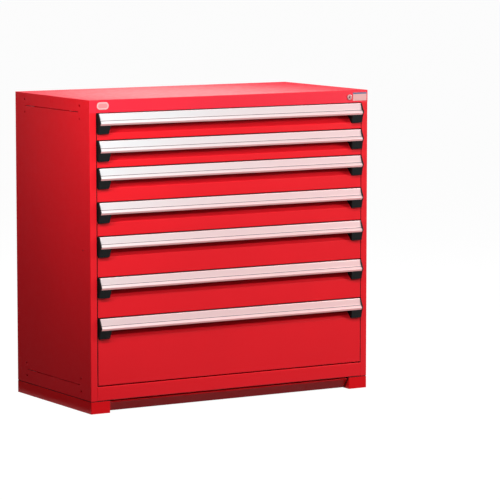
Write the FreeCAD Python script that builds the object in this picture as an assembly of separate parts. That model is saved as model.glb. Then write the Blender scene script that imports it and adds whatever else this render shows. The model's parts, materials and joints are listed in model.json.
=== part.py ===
import FreeCAD, Part
import math
import os

# Steel drawer cabinet on a low base with seven full-extension drawers, in millimetres.
# The pieces are made with y as the depth behind the front plane, x = 0 in the middle
# and z = 0 on the floor. Each is then moved by front_shift as it is saved, so that the
# origin is the middle of the whole footprint, end caps included.

os.makedirs("parts", exist_ok=True)

# Housing
cabinet_width = 1219.2
housing_depth = 609.6
base_height = 48.0
sill_height = 52.3
header_height = 47.4
upright_width = 27.6
housing_sheet = 1.5
bend_inside = 1.0
lip_depth = 22.0
top_flange_drop = 15.0
top_flange_setback = 30.0
top_edge_radius = 0.9
panel_gap = 0.3

# Drawer heights from the top one to the bottom one, and the room round the fronts
drawer_pitches = [101.6, 101.6, 127.0, 127.0, 152.4, 152.4, 254.0]
opening_spare = 4.7
top_gap = 3.0
front_gap = 2.8
side_gap = 3.0

# Base with its feet and the sloping toe panel
skirt_reveal = 3.0
skirt_reveal_depth = 5.0
skirt_flange = 26.0
flange_edge = 1.0
foot_width = 80.0
foot_return = 45.0
front_rail_setback = 30.0
front_rail_depth = 24.0
front_rail_height = 6.0
toe_top_setback = 4.0
toe_bottom_setback = 38.0
toe_floor_gap = 2.0
toe_end_gap = 5.0

# Slots and bolt holes in the sides
side_slot_height = 2.2
side_slot_front = 91.0
side_slot_back_room = 85.6
side_slot_drop = 48.4
side_slot_rise = 52.0
side_bolt_front = 81.0
side_bolt_spacing_y = 448.0
side_bolt_spacing_z = 48.8
side_bolt_radius = 4.25
post_hole_depth = 60.0
post_hole_rise = 560.0
post_hole_radius = 3.0

# Shallow pressed marks under the top edge of the sides
mark_depth = 0.5
ring_mark_radius = 11.0
ring_mark_width = 1.6
ring_mark_drop = 18.4
corner_mark_radius = 4.5
corner_mark_drop = 12.4
corner_mark_setback = 36.0

# Posts that carry the slide rails
front_post_setback = 42.0
rear_post_room = 92.6
post_width = 32.0
post_top_gap = 20.0

# Telescopic slides: a rail on the posts, a carriage on rollers, a rail on the drawer
slide_height = 34.0
slide_lift = 14.0
slide_sheet = 2.0
cabinet_rail_front = 46.0
cabinet_rail_back_room = 24.6
carriage_gap = 2.5
carriage_front = 54.0
carriage_back_room = 2.0
carriage_web_margin = 3.0
roller_width = 15.5
roller_gap = 0.3
roller_end_room = 8.5
flange_gap = 2.0
drawer_rail_depth = 25.4
drawer_rail_front = 31.0
roller_end_margin = 18.0
roller_spacing = 198.0
screw_head_radius = 5.0
screw_head_height = 1.6
screw_radius = 2.5
screw_length = 12.0
screw_hole_radius = 2.6

# Drawers
drawer_sheet = 1.2
tray_lift = 6.0
tray_back_room = 47.6
tray_top_drop = 10.0
tray_rim = 8.0
front_return = 14.0
recess_bend_drop = 75.0
recess_top_drop = 43.0
recess_depth = 27.0
front_top_drop = 3.0
front_top_return = 12.0

# Partitions run from front to back, dividers across; columns and rows of compartments
compartment_counts = [(8, 5), (8, 5), (8, 5), (8, 5), (5, 3), (5, 3), (4, 2)]
partition_sheet = 1.2
partition_gap = 0.3
partition_drop = 22.0

# Handle extrusion, given as depths in front of the front plane and drops below its top
handle_wall = 2.4
handle_top_reach = 6.0
label_face_reach = 14.5
label_face_drop = 25.2
label_step = 1.0
handle_top_radius = 1.2
handle_inner_radius = 0.8
label_margin_top = 3.4
label_margin_bottom = 2.6
groove_depth = 1.6
groove_height = 2.4
groove_shoulder = 0.8
groove_radius = 0.4
lip_reach = 23.4
lip_crest_drop = 35.5
lip_crest_wall = 2.9
lip_crest_radius = 3.6
lip_crest_inner_radius = 1.6
lip_top_radius = 1.5
lip_bottom_reach = 17.5
lip_bottom_drop = 44.0
lip_bottom_radius = 1.0
handle_leg_drop = 41.0

# End caps of the handle
cap_cheek = 4.5
cap_end_gap = 0.5
cap_proud = 1.0
cap_crest_reach = 24.0
cap_crest_drop = 35.0
cap_crest_radius = 4.0
cap_top_radius = 2.0
cap_waist_reach = 16.5
cap_waist_drop = 47.0
cap_waist_radius = 6.0
cap_foot_reach = 9.0
cap_foot_radius = 1.5
cap_block_setback = 1.0
cap_block_width = 44.0
cap_block_slant = 4.0
cap_clearance = 0.3

# Lock, its vertical bar and the catches on the drawers
lock_side_distance = 84.0
lock_top_distance = 26.0
lock_bezel_radius = 11.0
lock_bezel_height = 3.0
lock_body_radius = 9.0
lock_body_length = 30.0
lock_plug_radius = 7.0
lock_plug_recess = 0.6
lock_plug_length = 34.7
running_gap = 0.05
hole_gap = 0.1
keyhole_width = 1.6
keyhole_height = 8.0
keyhole_depth = 10.0
cam_radius = 10.0
cam_thickness = 3.6
lock_travel = 12.0
cam_pin_radius = 2.5
cam_slot_gap = 0.5
lock_bar_thickness = 3.0
lock_bar_gap = 0.3
lock_bar_side_gap = 1.5
lock_arm_height = 14.0
lock_arm_overhang = 5.0
lock_bar_foot = 14.0
tongue_height = 12.0
tongue_drop = 34.0
tongue_reach = 10.0
catch_sheet = 1.5
catch_play = 2.0
catch_height = 18.0
catch_top_drop = 12.0

# Blank plates on the header
badge_side_distance = 54.6
badge_top_distance = 22.4
badge_width = 50.0
badge_height = 28.0
badge_thickness = 1.2
plate_side_distance = 36.6
plate_top_distance = 24.7
plate_width = 63.0
plate_height = 32.0
plate_thickness = 0.6
plate_corner = 2.0

V = FreeCAD.Vector

# Heights and widths that follow from the sizes above
half_width = cabinet_width / 2
side_inner = half_width - housing_sheet
opening_half = half_width - upright_width
sill_top = base_height + sill_height
opening_top = sill_top + sum(drawer_pitches) + opening_spare
cabinet_height = opening_top + header_height
top_underside = cabinet_height - housing_sheet
floor_panel_top = base_height + housing_sheet
back_panel_front = housing_depth - 2 * housing_sheet
foot_inner = half_width - foot_width
front_half = opening_half - side_gap
side_slot_back = housing_depth - side_slot_back_room
rear_post_setback = housing_depth - rear_post_room - post_width
tray_inside_back = housing_depth - tray_back_room
tray_back = tray_inside_back + drawer_sheet

# Slide places, measured from the middle of the cabinet
carriage_outer = opening_half - carriage_gap
post_face = carriage_outer + roller_end_room + slide_sheet
carriage_web_outer = carriage_outer - roller_width
carriage_web_inner = carriage_web_outer - slide_sheet
cabinet_rail_edge = carriage_web_outer + flange_gap
drawer_rail_edge = carriage_web_inner - flange_gap
tray_half = drawer_rail_edge - drawer_rail_depth
roller_radius = slide_height / 2 - slide_sheet - roller_gap
cabinet_rail_back = housing_depth - cabinet_rail_back_room
carriage_back = tray_inside_back - carriage_back_room
rear_roller = carriage_back - roller_end_margin
front_roller = carriage_front + roller_end_margin

# Handle and cap ends
cap_outer = front_half - cap_end_gap
handle_half = cap_outer - cap_cheek
recess_back = recess_depth + drawer_sheet

# Places of the lock and the blank plates
lock_x = half_width - lock_side_distance
lock_z = cabinet_height - lock_top_distance
badge_x = badge_side_distance - half_width
badge_z = cabinet_height - badge_top_distance
plate_x = half_width - plate_side_distance
plate_z = cabinet_height - plate_top_distance

# Depths of the lock bar and its tongues
lock_bar_back = front_post_setback - lock_bar_gap
lock_bar_front = lock_bar_back - lock_bar_thickness


def drawer_tops():
    """Height of the top of each drawer, from the top drawer down."""
    tops = []
    height = opening_top - top_gap
    for pitch in drawer_pitches:
        tops.append(height)
        height -= pitch
    return tops


def front_bottom(top, pitch):
    return top - pitch + front_gap


def block(x0, x1, y0, y1, z0, z1):
    return Part.makeBox(x1 - x0, y1 - y0, z1 - z0, V(x0, y0, z0))


def bar_x(x0, x1, y, z, radius):
    return Part.makeCylinder(radius, x1 - x0, V(x0, y, z), V(1, 0, 0))


def bar_y(y0, y1, x, z, radius):
    return Part.makeCylinder(radius, y1 - y0, V(x, y0, z), V(0, 1, 0))


def mirrored(shape):
    return shape.mirror(V(0, 0, 0), V(1, 0, 0))


def joined(shapes):
    """One solid from shapes that share volume or faces."""
    return shapes[0].multiFuse(shapes[1:]).removeSplitter()


def corner_arc(before, here, after, radius):
    """Start, middle and end of the arc that rounds one corner of an outline."""
    to_before = (before - here).normalize()
    to_after = (after - here).normalize()
    half_angle = to_before.getAngle(to_after) / 2
    reach = radius / math.tan(half_angle)
    inward = (to_before + to_after).normalize()
    centre = here + inward * (radius / math.sin(half_angle))
    return here + to_before * reach, centre - inward * radius, here + to_after * reach


def rounded_face(points, radii):
    """Flat face in the XY plane with its corners rounded by the given radii."""
    corners = [V(a, b, 0) for a, b in points]
    arcs = []
    for i, here in enumerate(corners):
        if radii[i] == 0:
            arcs.append((here, None, here))
        else:
            after = corners[(i + 1) % len(corners)]
            arcs.append(corner_arc(corners[i - 1], here, after, radii[i]))
    edges = []
    for i, (start, middle, end) in enumerate(arcs):
        if middle is not None:
            edges.append(Part.Arc(start, middle, end).toShape())
        next_start = arcs[(i + 1) % len(arcs)][0]
        edges.append(Part.LineSegment(end, next_start).toShape())
    return Part.Face(Part.Wire(edges))


# How a flat outline is turned so that it can be drawn out along each axis:
# along x its two numbers are y and z, along y they are x and z, along z they are x and y.
turns = {
    "x": FreeCAD.Placement(V(0, 0, 0), FreeCAD.Rotation(V(0, 1, 0), V(0, 0, 1), V(1, 0, 0), "XYZ")),
    "y": FreeCAD.Placement(V(0, 0, 0), FreeCAD.Rotation(V(1, 0, 0), V(0, 0, 1), V(0, -1, 0), "XYZ")),
    "z": FreeCAD.Placement(),
}
directions = {"x": V(1, 0, 0), "y": V(0, 1, 0), "z": V(0, 0, 1)}


def prism(axis, low, high, points, radii=None):
    """Outline drawn out along one axis from low to high."""
    face = rounded_face(points, radii or [0] * len(points))
    face.Placement = turns[axis]
    face.translate(directions[axis] * low)
    return face.extrude(directions[axis] * (high - low))


def folded(axis, low, high, points, thickness, bend=bend_inside):
    """Folded sheet drawn out along an axis: one side follows the points, the other is left of them."""
    normals = []
    for (a0, b0), (a1, b1) in zip(points, points[1:]):
        length = math.hypot(a1 - a0, b1 - b0)
        normals.append(((b0 - b1) / length, (a1 - a0) / length))
    near_radii = []
    far_points = []
    far_radii = []
    for i, (a, b) in enumerate(points):
        before = normals[max(i - 1, 0)]
        after = normals[min(i, len(normals) - 1)]
        share = thickness / (1 + before[0] * after[0] + before[1] * after[1])
        far_points.append((a + (before[0] + after[0]) * share, b + (before[1] + after[1]) * share))
        turn = before[0] * after[1] - before[1] * after[0]
        near_radii.append(0 if turn == 0 else (bend + thickness if turn > 0 else bend))
        far_radii.append(0 if turn == 0 else (bend if turn > 0 else bend + thickness))
    outline = points + far_points[::-1]
    return prism(axis, low, high, outline, near_radii + far_radii[::-1])


def save(name, shapes):
    """Writes one named piece, or a group of identical ones, in its final place."""
    shape = shapes[0] if len(shapes) == 1 else Part.makeCompound(shapes)
    shape = shape.copy()
    shape.translate(V(0, front_shift, 0))
    shape.exportStep("parts/" + name + ".step")


# Housing

def side_marks():
    """Room of the marks in the right side: a ring in the middle and a dimple near each corner."""
    low = half_width - mark_depth
    middle = housing_depth / 2
    ring_z = cabinet_height - ring_mark_drop
    ring = bar_x(low, half_width + 1, middle, ring_z, ring_mark_radius)
    core = bar_x(low - 1, half_width + 2, middle, ring_z, ring_mark_radius - ring_mark_width)
    corner_z = cabinet_height - corner_mark_drop
    dimples = []
    for y in (corner_mark_setback, housing_depth - corner_mark_setback):
        dimples.append(bar_x(low, half_width + 1, y, corner_z, corner_mark_radius))
    return [ring.cut(core)] + dimples


def side_panel():
    """Right side: outer skin with the front upright, its lip and the rear return folded from it."""
    path = [
        (opening_half, lip_depth),
        (opening_half, 0),
        (half_width, 0),
        (half_width, housing_depth),
        (opening_half, housing_depth),
    ]
    panel = folded("z", base_height, top_underside, path, housing_sheet)
    panel = panel.cut(block(opening_half - 1, half_width + 1, -1, housing_sheet, opening_top, cabinet_height))
    bend_room = housing_sheet + bend_inside
    panel = panel.cut(block(
        opening_half - 1, half_width + 1, -1, bend_room,
        cabinet_height - bend_room, cabinet_height,
    ))
    slot_heights = [cabinet_height - side_slot_drop, base_height + side_slot_rise]
    skin = (side_inner - bend_inside, half_width + 1)
    for slot_z in slot_heights:
        low = slot_z - side_slot_height / 2
        panel = panel.cut(block(*skin, side_slot_front, side_slot_back, low, low + side_slot_height))
        for y in (side_bolt_front, side_bolt_front + side_bolt_spacing_y):
            for z in (slot_z - side_bolt_spacing_z / 2, slot_z + side_bolt_spacing_z / 2):
                panel = panel.cut(bar_x(*skin, y, z, side_bolt_radius))
    panel = panel.cut(bar_x(*skin, post_hole_depth, base_height + post_hole_rise, post_hole_radius))
    return panel.cut(side_marks())


def lock_hole(y0, y1):
    return bar_y(y0, y1, lock_x, lock_z, lock_body_radius + hole_gap)


def top_panel():
    """Top with the front header face folded down from it and a flange inside each side."""
    path = [(housing_depth, cabinet_height), (0, cabinet_height), (0, opening_top)]
    top = folded("x", -half_width, half_width, path, housing_sheet)
    flange = block(
        side_inner - housing_sheet, side_inner,
        top_flange_setback, housing_depth - top_flange_setback,
        top_underside - top_flange_drop, top_underside,
    )
    top = joined([top, flange, mirrored(flange)])
    top = top.cut(lock_hole(-1, housing_sheet + 1))
    rims = []
    for edge in top.Edges:
        ends = [vertex.Point for vertex in edge.Vertexes]
        long_side = edge.Length > housing_depth / 2 and abs(abs(ends[0].x) - half_width) < 0.001
        if long_side and all(abs(end.z - cabinet_height) < 0.001 for end in ends):
            rims.append(edge)
    return top.makeFillet(top_edge_radius, rims)


def header_rail():
    """Channel behind the header face, between the lips of the uprights."""
    path = [
        (lip_depth, top_underside),
        (housing_sheet, top_underside),
        (housing_sheet, opening_top),
        (lip_depth, opening_top),
    ]
    rail = folded("x", -opening_half, opening_half, path, housing_sheet)
    return rail.cut(lock_hole(0, lip_depth))


def sill_rail():
    """Channel under the lowest drawer, between the uprights."""
    path = [(lip_depth, sill_top), (0, sill_top), (0, base_height), (lip_depth, base_height)]
    return folded("x", -opening_half, opening_half, path, housing_sheet)


def bottom_panel():
    return block(
        -side_inner, side_inner,
        lip_depth + panel_gap, back_panel_front,
        base_height, floor_panel_top,
    )


def back_panel():
    """Sheet that closes the back from inside the rear returns of the sides."""
    half = side_inner - bend_inside - panel_gap
    return block(-half, half, back_panel_front, housing_depth - housing_sheet, floor_panel_top, top_underside)


def skirt_ring(outer, inner, inner_front, low, high):
    """Flange inside the skirt, between two distances from its outer face."""
    ring = block(-half_width + outer, half_width - outer, outer, housing_depth - outer, low, high)
    return ring.cut(block(
        -half_width + inner, half_width - inner,
        inner_front, housing_depth - inner,
        low - 1, high + 1,
    ))


def base_frame():
    """Skirt with two front feet, a floor flange, a stepped flange under the housing and a front rail."""
    path = [
        (foot_inner, foot_return),
        (foot_inner, 0),
        (half_width, 0),
        (half_width, housing_depth),
        (-half_width, housing_depth),
        (-half_width, 0),
        (-foot_inner, 0),
        (-foot_inner, foot_return),
    ]
    skirt_top = base_height - skirt_reveal
    skirt = folded("z", 0, skirt_top, path, housing_sheet)
    floor_ring = skirt_ring(flange_edge, skirt_flange, -1, 0, housing_sheet)
    floor_ring = floor_ring.cut(block(-half_width, half_width, -1, foot_return, -1, housing_sheet + 1))
    foot = block(
        foot_inner + flange_edge, half_width - flange_edge,
        flange_edge, foot_return,
        0, housing_sheet,
    )
    step_low = skirt_top - housing_sheet
    step_inner = skirt_reveal_depth + housing_sheet
    rail_back = front_rail_setback + front_rail_depth
    step = joined([
        skirt_ring(flange_edge, step_inner, step_inner, step_low, skirt_top),
        skirt_ring(skirt_reveal_depth, step_inner, step_inner, step_low, base_height),
        skirt_ring(skirt_reveal_depth, skirt_flange, rail_back, base_height - housing_sheet, base_height),
    ])
    step = step.cut(block(
        -foot_inner - skirt_reveal_depth, foot_inner + skirt_reveal_depth,
        -1, front_rail_setback,
        step_low - 1, base_height + 1,
    ))
    rail = block(
        -foot_inner - housing_sheet, foot_inner + housing_sheet,
        front_rail_setback, rail_back,
        base_height - front_rail_height, base_height,
    )
    return joined([skirt, floor_ring, foot, mirrored(foot), step, rail])


def toe_panel():
    """Sloping panel between the feet, hung by its top flange under the front rail."""
    half = foot_inner - toe_end_gap
    flange_z = base_height - front_rail_height
    path = [
        (front_rail_setback + front_rail_depth, flange_z),
        (toe_top_setback, flange_z),
        (toe_bottom_setback, toe_floor_gap),
    ]
    return folded("x", -half, half, path, housing_sheet)


def slide_zone(top, pitch):
    """Lowest and highest z of the slide beside one drawer."""
    low = front_bottom(top, pitch) + slide_lift
    return low, low + slide_height


def screw_places():
    """Depth and height of each screw that holds a slide rail to a post."""
    places = []
    for top, pitch in zip(drawer_tops(), drawer_pitches):
        low, high = slide_zone(top, pitch)
        for setback in (front_post_setback, rear_post_setback):
            places.append((setback + post_width / 2, (low + high) / 2))
    return places


def screw_holes(x0, x1):
    return [bar_x(x0, x1, y, z, screw_hole_radius) for y, z in screw_places()]


def post(setback):
    """Right post: a channel against the side panel."""
    path = [
        (side_inner, setback + post_width),
        (post_face, setback + post_width),
        (post_face, setback),
        (side_inner, setback),
    ]
    channel = folded("z", floor_panel_top, top_underside - post_top_gap, path, housing_sheet)
    return channel.cut(screw_holes(post_face - 1, post_face + housing_sheet + 1))


def slide_rails():
    """Right slide rails, one channel per drawer, open towards the drawer."""
    rails = []
    for top, pitch in zip(drawer_tops(), drawer_pitches):
        low, high = slide_zone(top, pitch)
        path = [(cabinet_rail_edge, low), (post_face, low), (post_face, high), (cabinet_rail_edge, high)]
        rail = folded("y", cabinet_rail_front, cabinet_rail_back, path, slide_sheet)
        rails.append(rail.cut(screw_holes(post_face - slide_sheet - 1, post_face + 1)))
    return rails


def rail_screws():
    """Right screws, heads inside the slide rails and shanks through the posts."""
    seat = post_face - slide_sheet
    screws = []
    for y, z in screw_places():
        head = bar_x(seat - screw_head_height, seat, y, z, screw_head_radius)
        shank = bar_x(seat - screw_head_height / 2, seat + screw_length, y, z, screw_radius)
        screws.append(joined([head, shank]))
    return screws


# Lock

def lock_housing():
    """Round bezel on the header with the body that carries the plug."""
    bezel = bar_y(-lock_bezel_height, 0, lock_x, lock_z, lock_bezel_radius)
    front_rim = [edge for edge in bezel.Edges if edge.BoundBox.YMax < -lock_bezel_height / 2]
    bezel = bezel.makeFillet(lock_bezel_height / 2, front_rim)
    body = bar_y(-lock_bezel_height / 2, lock_body_length, lock_x, lock_z, lock_body_radius)
    bore = bar_y(-lock_bezel_height - 1, lock_body_length + 1, lock_x, lock_z, lock_plug_radius + running_gap)
    return joined([bezel, body]).cut(bore)


def lock_plug():
    """Turning plug with its keyhole, ending where the cam is fixed."""
    face = -lock_bezel_height + lock_plug_recess
    plug = bar_y(face, lock_plug_length, lock_x, lock_z, lock_plug_radius)
    keyhole = block(
        lock_x - keyhole_width / 2, lock_x + keyhole_width / 2,
        face - 1, face + keyhole_depth,
        lock_z - keyhole_height / 2, lock_z + keyhole_height / 2,
    )
    return plug.cut(keyhole)


def cam_pin_place():
    """Place of the cam's pin with the lock open, an eighth of a turn below the level."""
    offset = lock_travel / 2
    return lock_x + offset, lock_z - offset


def lock_cam():
    """Disc on the end of the plug with the pin that lifts the bar."""
    disc = bar_y(lock_plug_length, lock_plug_length + cam_thickness, lock_x, lock_z, cam_radius + cam_pin_radius)
    pin_x, pin_z = cam_pin_place()
    pin = bar_y(
        lock_plug_length + cam_thickness / 2, lock_bar_back + lock_bar_gap,
        pin_x, pin_z, cam_pin_radius,
    )
    return joined([disc, pin])


def tongue_zone(top):
    """Lowest and highest z of one tongue with the lock open."""
    return top - tongue_drop - tongue_height, top - tongue_drop


def lock_bar():
    """Vertical bar behind the right upright, its tongues and the slotted arm at the cam."""
    x0 = post_face + lock_bar_side_gap
    x1 = side_inner - housing_sheet - lock_bar_side_gap
    pin_x, pin_z = cam_pin_place()
    arm_low = pin_z - lock_arm_height / 2
    arm_left = lock_x - lock_arm_overhang
    arm_high = arm_low + lock_arm_height
    foot = tongue_zone(drawer_tops()[-1])[0] - lock_bar_foot
    pieces = [
        block(x0, x1, lock_bar_front, lock_bar_back, foot, arm_high),
        block(arm_left, x1, lock_bar_front, lock_bar_back, arm_low, arm_high),
    ]
    for top in drawer_tops():
        low, high = tongue_zone(top)
        pieces.append(block(opening_half - tongue_reach, x1, lock_bar_front, lock_bar_back, low, high))
    bar = joined(pieces)
    reach = math.hypot(lock_travel / 2, lock_travel / 2)
    slot = block(
        pin_x - cam_pin_radius - cam_slot_gap, lock_x + reach + cam_pin_radius + cam_slot_gap,
        lock_bar_front - 1, lock_bar_back + 1,
        pin_z - cam_pin_radius - cam_slot_gap, pin_z + cam_pin_radius + cam_slot_gap,
    )
    return bar.cut(slot)


# Blank plates

def front_plates():
    """Blank badge at the left of the header and blank label plate at its right."""
    round_end = badge_height / 2 - 0.5
    badge = prism("y", -badge_thickness, 0, plate_outline(badge_x, badge_z, badge_width, badge_height),
                  [round_end] * 4)
    plate = prism("y", -plate_thickness, 0, plate_outline(plate_x, plate_z, plate_width, plate_height),
                  [plate_corner] * 4)
    return [badge, plate]


def plate_outline(x, z, width, height):
    left = x - width / 2
    right = x + width / 2
    low = z - height / 2
    high = z + height / 2
    return [(left, low), (right, low), (right, high), (left, high)]


# Drawers

def drawer_front(top, pitch):
    """Front sheet: flat face, sloping finger recess, and the wall that carries the handle."""
    low = front_bottom(top, pitch)
    wall_top = top - front_top_drop
    path = [
        (recess_back + front_top_return, wall_top),
        (recess_depth, wall_top),
        (recess_depth, top - recess_top_drop),
        (0, top - recess_bend_drop),
        (0, low),
        (front_return, low),
    ]
    face = folded("x", -front_half, front_half, path, drawer_sheet)
    end = block(
        front_half - drawer_sheet, front_half,
        drawer_sheet / 2, front_return,
        low, top - recess_bend_drop - drawer_sheet,
    )
    return [face, end, mirrored(end)]


def drawer_tray(top, pitch):
    """Tray and front as one folded and welded piece."""
    low = front_bottom(top, pitch) + tray_lift
    high = top - tray_top_drop
    wall = [
        (drawer_sheet / 2, low),
        (drawer_sheet / 2, top - recess_bend_drop),
        (recess_depth + drawer_sheet / 2, top - recess_top_drop),
        (recess_depth + drawer_sheet / 2, high),
        (tray_back, high),
        (tray_back, low),
    ]
    side = prism("x", tray_half - drawer_sheet, tray_half, wall)
    rim = block(tray_half - drawer_sheet, tray_half + tray_rim, recess_back, tray_back, high - drawer_sheet, high)
    floor = block(-tray_half, tray_half, drawer_sheet / 2, tray_back, low, low + drawer_sheet)
    back = block(-tray_half, tray_half, tray_inside_back, tray_back, low, high)
    pieces = drawer_front(top, pitch)
    return joined(pieces + [side, mirrored(side), rim, mirrored(rim), floor, back])


def drawer_dividers(top, pitch, columns, rows):
    """Partitions from front to back and dividers across, standing on the tray floor."""
    floor = front_bottom(top, pitch) + tray_lift + drawer_sheet
    high = top - partition_drop
    inside_half = tray_half - drawer_sheet
    front = recess_back + partition_gap
    back = tray_inside_back - partition_gap
    column_width = 2 * inside_half / columns
    row_depth = (back - front) / rows
    plates = []
    for i in range(columns):
        left = -inside_half + i * column_width
        if i > 0:
            plates.append(block(left - partition_sheet / 2, left + partition_sheet / 2, front, back, floor, high))
        start = left + partition_gap + (partition_sheet / 2 if i > 0 else 0)
        end = left + column_width - partition_gap - (partition_sheet / 2 if i < columns - 1 else 0)
        for j in range(1, rows):
            y = front + j * row_depth
            plates.append(block(start, end, y - partition_sheet / 2, y + partition_sheet / 2, floor, high))
    return plates


def drawer_slides(top, pitch):
    """Rails on both sides of the tray, and the catch for the lock bar behind the right end."""
    low, high = slide_zone(top, pitch)
    path = [(drawer_rail_edge, high), (tray_half, high), (tray_half, low), (drawer_rail_edge, low)]
    rail = folded("y", drawer_rail_front, tray_inside_back, path, slide_sheet)
    return [rail, mirrored(rail), lock_catch(top)]


def lock_catch(top):
    """Bracket behind the front with a plate that the tongue holds back when the lock is shut."""
    left = opening_half - tongue_reach - catch_play - catch_sheet
    high = top - catch_top_drop
    plate_front = lock_bar_back + catch_play
    path = [
        (front_half, plate_front + catch_sheet),
        (left, plate_front + catch_sheet),
        (left, recess_back),
        (front_half, recess_back),
    ]
    return folded("z", high - catch_height, high, path, catch_sheet)


def face_point(drop_share, inset):
    """Point on the sloping label face, a given share of the way down and inset into it."""
    run = label_face_reach - handle_top_reach
    length = math.hypot(run, label_face_drop)
    along = (-run / length, -label_face_drop / length)
    distance = drop_share * length
    return (
        -handle_top_reach + along[0] * distance - along[1] * inset,
        along[1] * distance + along[0] * inset,
    )


def handle_outline():
    """Section of the handle as depth and height from the top of the drawer at the front plane."""
    length = math.hypot(label_face_reach - handle_top_reach, label_face_drop)
    share_top = label_margin_top / length
    share_bottom = 1 - label_margin_bottom / length
    leg_front = recess_depth - handle_wall
    inner_bottom = face_point(1, label_step + handle_wall)
    lip_top = -label_face_drop - groove_height
    corners = [
        ((recess_depth, 0), 0),
        ((-handle_top_reach, 0), handle_top_radius),
        (face_point(share_top, 0), 0),
        (face_point(share_top, label_step), 0),
        (face_point(share_bottom, label_step), 0),
        (face_point(share_bottom, 0), 0),
        (face_point(1, 0), groove_radius),
        ((-label_face_reach + groove_depth, -label_face_drop - groove_shoulder), groove_radius),
        ((-label_face_reach - groove_depth, lip_top), lip_top_radius),
        ((-lip_reach, -lip_crest_drop), lip_crest_radius),
        ((-lip_bottom_reach, -lip_bottom_drop), lip_bottom_radius),
        ((-lip_bottom_reach + handle_wall, -lip_bottom_drop + handle_wall / 2), handle_inner_radius),
        ((-lip_reach + lip_crest_wall, -lip_crest_drop), lip_crest_inner_radius),
        ((inner_bottom[0], lip_top - handle_wall / 2), handle_inner_radius),
        (inner_bottom, 0),
        ((face_point(0, label_step + handle_wall)[0], -handle_wall), handle_inner_radius),
        ((leg_front, -handle_wall), handle_inner_radius),
        ((leg_front, -handle_leg_drop), 0),
        ((recess_depth, -handle_leg_drop), 0),
    ]
    return [point for point, radius in corners], [radius for point, radius in corners]


def drawer_handle(top):
    """Full-width handle extrusion between the end caps."""
    points, radii = handle_outline()
    raised = [(y, top + z) for y, z in points]
    return prism("x", -handle_half, handle_half, raised, radii)


def recess_point(drop):
    """Depth of the recess wall's face at a height below the top of the drawer."""
    share = (recess_bend_drop - drop) / (recess_bend_drop - recess_top_drop)
    return recess_depth * min(share, 1)


def end_cap(top):
    """Right end cap: a cheek over the end of the handle and the block that closes the recess."""
    wall = cap_clearance
    cheek = [
        (recess_depth - wall, top),
        (-handle_top_reach - cap_proud, top),
        (-cap_crest_reach, top - cap_crest_drop),
        (-cap_waist_reach, top - cap_waist_drop),
        (-cap_foot_reach, top - recess_bend_drop),
        (-wall, top - recess_bend_drop),
        (recess_depth - wall, top - recess_top_drop + wall),
    ]
    cheek_radii = [0, cap_top_radius, cap_crest_radius, cap_waist_radius, cap_foot_radius, 0, 0]
    block_top = lip_bottom_drop + cap_clearance
    under = [
        (recess_point(block_top) - 2 * wall, top - block_top),
        (-cap_waist_reach + cap_block_setback, top - block_top),
        (-cap_waist_reach, top - cap_waist_drop),
        (-cap_foot_reach, top - recess_bend_drop),
        (-wall, top - recess_bend_drop),
    ]
    cheek_solid = prism("x", handle_half, cap_outer, cheek, cheek_radii)
    inner = handle_half - cap_block_width
    under_solid = prism("x", inner, handle_half + cap_cheek / 2, under)
    slant = [
        (inner - 1, top - recess_bend_drop - 1),
        (inner + cap_block_slant, top - recess_bend_drop - 1),
        (inner, top - block_top),
        (inner - 1, top - block_top),
    ]
    wedge = prism("y", -cap_crest_reach - 1, recess_depth + 1, slant)
    return joined([cheek_solid, under_solid.cut(wedge)])


# Carriages

def roller(x0, x1, y, z):
    return bar_x(x0, x1, y, z, roller_radius)


def carriage(top, pitch):
    """Both carriage webs of one drawer with the rollers on their two sides."""
    low, high = slide_zone(top, pitch)
    middle = (low + high) / 2
    web = block(
        carriage_web_inner, carriage_web_outer,
        carriage_front, carriage_back,
        low + carriage_web_margin, high - carriage_web_margin,
    )
    pieces = [web]
    for y in (rear_roller - roller_spacing, rear_roller):
        pieces.append(roller(carriage_web_outer, carriage_outer, y, middle))
    for y in (front_roller, front_roller + roller_spacing):
        pieces.append(roller(carriage_web_inner - roller_width, carriage_web_inner, y, middle))
    return pieces + [mirrored(piece) for piece in pieces]


def make_housing():
    side = side_panel()
    save("right_side_panel", [side])
    save("left_side_panel", [mirrored(side)])
    save("top_panel", [top_panel()])
    save("back_panel", [back_panel()])
    save("bottom_panel", [bottom_panel()])
    save("header_rail", [header_rail()])
    save("sill_rail", [sill_rail()])
    save("base_frame", [base_frame()])
    save("toe_panel", [toe_panel()])
    posts = [post(front_post_setback), post(rear_post_setback)]
    save("rail_posts", posts + [mirrored(piece) for piece in posts])
    rails = slide_rails()
    save("right_slide_rails", rails)
    save("left_slide_rails", [mirrored(rail) for rail in rails])
    screws = rail_screws()
    save("rail_screws", screws + [mirrored(screw) for screw in screws])


def make_lock_and_plates():
    save("lock_housing", [lock_housing()])
    save("lock_plug", [lock_plug()])
    save("lock_cam", [lock_cam()])
    save("lock_bar", [lock_bar()])
    save("front_plates", front_plates())


def make_drawers():
    for i, (top, pitch) in enumerate(zip(drawer_tops(), drawer_pitches)):
        name = "drawer_" + str(i + 1)
        columns, rows = compartment_counts[i]
        cap = end_cap(top)
        save(name + "_tray", [drawer_tray(top, pitch)])
        save(name + "_handle", [drawer_handle(top)])
        save(name + "_end_caps", [cap, mirrored(cap)])
        save(name + "_slides", drawer_slides(top, pitch))
        save(name + "_dividers", drawer_dividers(top, pitch, columns, rows))
        save("carriage_" + str(i + 1), carriage(top, pitch))


front_shift = -(housing_depth + end_cap(0).optimalBoundingBox().YMin) / 2
make_housing()
make_lock_and_plates()
make_drawers()
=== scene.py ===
import json
import math

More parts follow.
